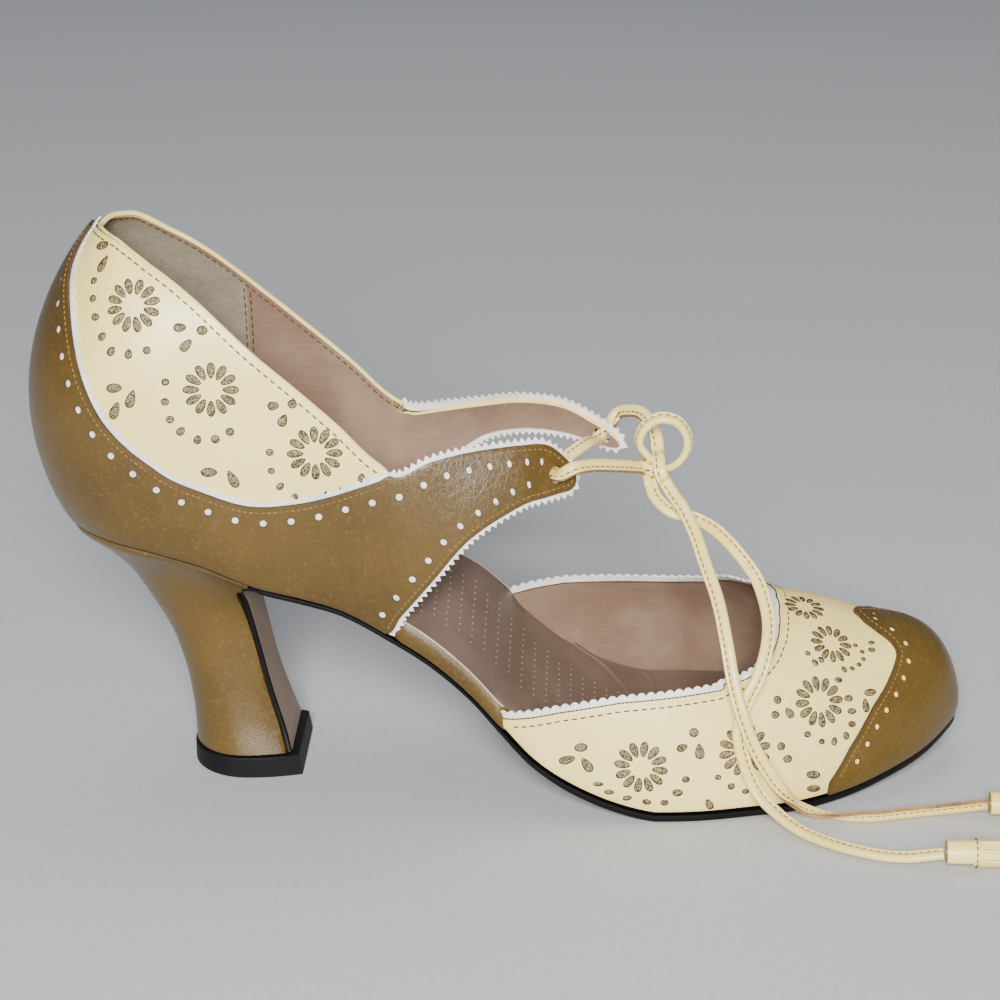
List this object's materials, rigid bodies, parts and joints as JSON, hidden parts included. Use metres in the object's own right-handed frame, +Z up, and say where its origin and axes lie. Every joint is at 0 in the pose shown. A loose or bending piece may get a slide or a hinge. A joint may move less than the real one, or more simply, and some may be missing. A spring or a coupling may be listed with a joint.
{
  "type": "spectator shoe",
  "caption": "Right high-heeled spectator pump in tan and cream leather, with an open waist, a curved heel, punched panels, and tasselled laces tied over the instep.",
  "frame": {"origin": "on the floor under the middle of the shoe's box, without its loose laces", "axes": "+X from the heel to the toe, +Y to the inner side of the foot, +Z up"},
  "size_m": [0.2604, 0.1029, 0.1387],
  "materials": {
    "tan_leather": "smooth tan leather with a soft gloss",
    "cream_leather": "smooth cream leather, punched",
    "white_trim": "matt white leather, pinked edge",
    "sock_lining": "matt taupe lining leather",
    "sole_leather": "smooth taupe sole leather",
    "heel_rubber": "matt black rubber",
    "lace_leather": "folded cream leather"
  },
  "bodies": {
    "root": {"outsole": "sole_leather", "heel": "tan_leather", "heel_tip": "heel_rubber", "insole": "tan_leather", "sock_lining": "sock_lining", "quarter": "cream_leather", "foxing": "tan_leather", "vamp": "cream_leather", "toe_cap": "tan_leather", "trim_near": "white_trim", "trim_far": "white_trim", "trim_vamp": "white_trim", "lace_bar": "lace_leather", "lace_loop": "lace_leather", "lace_end_upper": "lace_leather", "lace_end_lower": "lace_leather", "lace_knot": "lace_leather", "tassel_upper": "lace_leather", "tassel_lower": "lace_leather"}
  },
  "joints": []
}
